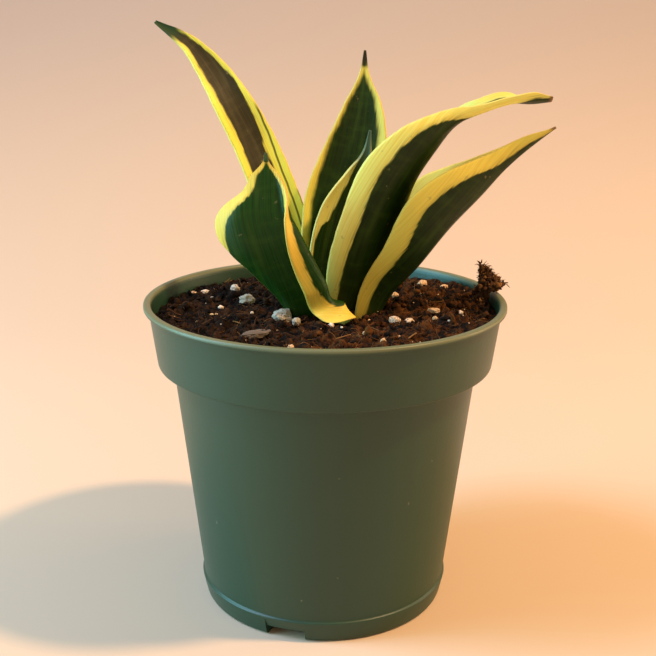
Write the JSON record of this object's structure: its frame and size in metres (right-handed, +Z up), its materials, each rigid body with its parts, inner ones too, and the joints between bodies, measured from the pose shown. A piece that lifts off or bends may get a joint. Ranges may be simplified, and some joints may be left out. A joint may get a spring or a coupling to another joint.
{
  "type": "potted snake plant",
  "caption": "Young variegated snake plant: short pointed leaves with yellow margins, in peat and perlite mix, in a round plastic nursery pot.",
  "frame": {"origin": "middle of the flat disc under the pot, on the surface that the pot stands on", "axes": "+Z up along the pot's axis; -Y towards the side that the broad front leaf faces; +X towards the two arching leaves"},
  "size_m": [0.1123, 0.102, 0.1637],
  "materials": {
    "pot_plastic": "satin injection moulded green plastic with dust and faint scuffs",
    "leaf": "satin waxy leaf, dark green centre with yellow margins",
    "rhizome": "pale tan woody rhizome",
    "soil": "dark crumbly fibrous peat",
    "root_clump": "matted dark roots and peat",
    "bark": "weathered grey bark",
    "perlite": "matt pitted expanded perlite"
  },
  "bodies": {
    "root": {"nursery_pot": "pot_plastic", "long_left_leaf": "leaf", "back_leaf": "leaf", "young_leaf": "leaf", "arching_leaf": "leaf", "right_leaf": "leaf", "front_leaf": "leaf", "rhizome": "rhizome", "potting_mix": "soil", "root_clump": "root_clump", "bark_chip": "bark", "perlite_by_front_leaf": "perlite", "perlite_beside_it": "perlite", "perlite_left_grey": "perlite", "perlite_left_rear": "perlite", "perlite_left_wall_2": "perlite", "perlite_left_wall_3": "perlite", "perlite_left_middle": "perlite", "perlite_front_centre": "perlite", "perlite_right_1": "perlite", "perlite_right_2": "perlite", "perlite_right_5": "perlite", "perlite_left_wall_1": "perlite", "perlite_front_left_1": "perlite", "perlite_front_left_2": "perlite", "perlite_front_1": "perlite", "perlite_front_2": "perlite", "perlite_right_3": "perlite", "perlite_right_4": "perlite", "perlite_right_rear_1": "perlite", "perlite_right_rear_2": "perlite", "perlite_right_rear_3": "perlite"}
  },
  "joints": []
}
